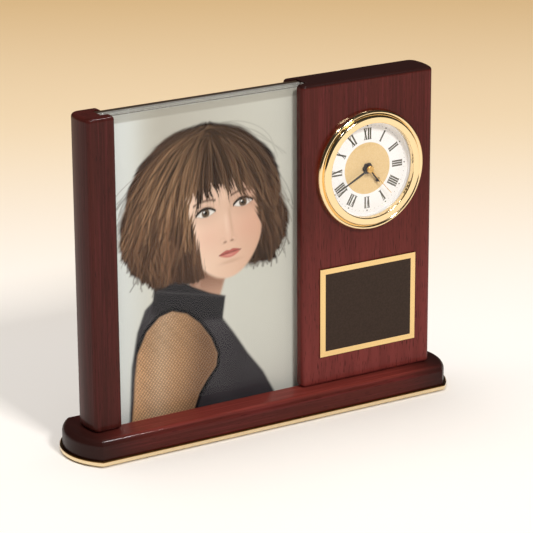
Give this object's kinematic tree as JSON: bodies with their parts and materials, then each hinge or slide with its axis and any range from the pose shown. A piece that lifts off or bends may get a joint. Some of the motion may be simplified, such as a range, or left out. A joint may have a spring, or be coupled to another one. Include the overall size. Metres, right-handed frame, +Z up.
{
  "type": "photo frame clock",
  "caption": "Polished wood desk stand with a glass-fronted upright picture pocket beside a wide panel that holds a round clock insert above a blank plaque.",
  "frame": {"origin": "under the middle of the base, on the surface that the felt rests on", "axes": "+X to the viewer's right along the base, +Y from the front to the back, +Z up"},
  "size_m": [0.2462, 0.0482, 0.1928],
  "materials": {
    "felt": "pressed wool felt",
    "trim_brass": "polished and lacquered",
    "screw_steel": "zinc plated",
    "stand_wood": "rosewood stain under a thick gloss lacquer",
    "board_wood": "dark stained board, satin",
    "grey_card": "matt grey pulp board",
    "print_paper": "glossy coated photo paper",
    "pane_glass": "clear, ground edges",
    "adhesive_film": "white foam film",
    "plaque_brass": "polished border around a black lacquered field",
    "bezel_brass": "polished gold tone",
    "lens_glass": "clear, domed",
    "dial_white": "satin white",
    "dial_enamel": "white with a gold centre and printed numerals",
    "case_plastic": "black, fine moulded texture",
    "grip_rubber": "black, matt",
    "black_metal": "satin black",
    "hand_brass": "gold tone, satin",
    "wheel_plastic": "natural acetal",
    "stator_steel": "bare soft iron",
    "bobbin_plastic": "blue moulded",
    "copper_wire": "enamelled copper",
    "board_resin": "green solder mask",
    "chip_resin": "black resin drop",
    "cell_steel": "nickel plated",
    "contact_metal": "plated spring bronze"
  },
  "bodies": {
    "stand": {"felt_pad": "felt", "base_trim_plate": "trim_brass", "trim_plate_screws": "screw_steel", "base_plinth": "stand_wood", "upright_screws": "screw_steel", "left_post": "stand_wood", "clock_panel": "stand_wood", "back_board": "board_wood", "plaque_film": "adhesive_film", "plaque_plate": "plaque_brass"},
    "glass": {"glass_pane": "pane_glass"},
    "picture": {"picture_print": "print_paper", "backing_card": "grey_card"},
    "clock_insert": {"bezel": "bezel_brass", "lens": "lens_glass", "dial_ring": "dial_white", "dial_plate": "dial_enamel", "insert_case": "case_plastic", "grip_ring": "grip_rubber", "dial_nut": "black_metal", "movement_plate": "case_plastic", "movement_cover": "case_plastic", "stator_plate": "stator_steel", "coil_bobbin": "bobbin_plastic", "coil_winding": "copper_wire", "circuit_board": "board_resin", "circuit_chip": "chip_resin", "crystal_can": "cell_steel", "battery": "cell_steel", "battery_contact": "contact_metal", "case_screws": "screw_steel"},
    "minute_train": {"minute_hand": "black_metal", "minute_arbor": "wheel_plastic"},
    "hour_train": {"hour_hand": "black_metal", "hour_wheel": "wheel_plastic"},
    "motion_work": {"minute_wheel": "wheel_plastic"},
    "setting": {"setting_stem": "wheel_plastic", "setting_knob": "case_plastic"},
    "second_train": {"second_hand": "hand_brass", "second_wheel": "wheel_plastic"},
    "third": {"third_wheel": "wheel_plastic"},
    "centre": {"centre_wheel": "wheel_plastic"},
    "idler": {"idler_wheel": "wheel_plastic"},
    "rotor": {"motor_rotor": "wheel_plastic"},
    "hatch": {"battery_hatch": "case_plastic"}
  },
  "joints": [
    {"name": "glass_lift", "type": "slide", "parent": "stand", "child": "glass", "axis": [0, 0, 1], "range_m": [0, 0.19]},
    {"name": "picture_lift", "type": "slide", "parent": "stand", "child": "picture", "axis": [0, 0, 1], "range_m": [0, 0.19]},
    {"name": "insert_pull", "type": "slide", "parent": "stand", "child": "clock_insert", "axis": [0, -1, 0], "range_m": [0, 0.03]},
    {"name": "minute_turn", "type": "hinge", "parent": "clock_insert", "child": "minute_train", "pos_m": [0.0667, -0.0115, 0.139], "axis": [0, 1, 0], "continuous": true},
    {"name": "hour_turn", "type": "hinge", "parent": "clock_insert", "child": "hour_train", "pos_m": [0.0667, -0.0105, 0.139], "axis": [0, 1, 0], "continuous": true},
    {"name": "motion_turn", "type": "hinge", "parent": "clock_insert", "child": "motion_work", "pos_m": [0.0667, -0.006, 0.133], "axis": [0, 1, 0], "continuous": true},
    {"name": "setting_turn", "type": "hinge", "parent": "clock_insert", "child": "setting", "pos_m": [0.0667, 0.0088, 0.127], "axis": [0, 1, 0], "continuous": true},
    {"name": "second_turn", "type": "hinge", "parent": "clock_insert", "child": "second_train", "pos_m": [0.0667, -0.0125, 0.139], "axis": [0, 1, 0], "continuous": true},
    {"name": "third_turn", "type": "hinge", "parent": "clock_insert", "child": "third", "pos_m": [0.0667, -0.003, 0.147], "axis": [0, 1, 0], "continuous": true},
    {"name": "centre_turn", "type": "hinge", "parent": "clock_insert", "child": "centre", "pos_m": [0.0667, -0.0043, 0.139], "axis": [0, 1, 0], "continuous": true},
    {"name": "idler_turn", "type": "hinge", "parent": "clock_insert", "child": "idler", "pos_m": [0.0583, 0, 0.139], "axis": [0, 1, 0], "continuous": true},
    {"name": "rotor_turn", "type": "hinge", "parent": "clock_insert", "child": "rotor", "pos_m": [0.0553, 0, 0.1338], "axis": [0, 1, 0], "continuous": true},
    {"name": "hatch_pull", "type": "slide", "parent": "clock_insert", "child": "hatch", "axis": [0, 1, 0], "range_m": [0, 0.02]}
  ],
  "couplings": [
    {"joint": "hour_turn", "follows": "minute_turn", "ratio": 0.083333},
    {"joint": "motion_turn", "follows": "minute_turn", "ratio": -0.33333},
    {"joint": "setting_turn", "follows": "minute_turn", "ratio": 1},
    {"joint": "third_turn", "follows": "second_turn", "ratio": -0.13333},
    {"joint": "centre_turn", "follows": "second_turn", "ratio": 0.016667},
    {"joint": "idler_turn", "follows": "second_turn", "ratio": -6},
    {"joint": "rotor_turn", "follows": "second_turn", "ratio": 30}
  ]
}
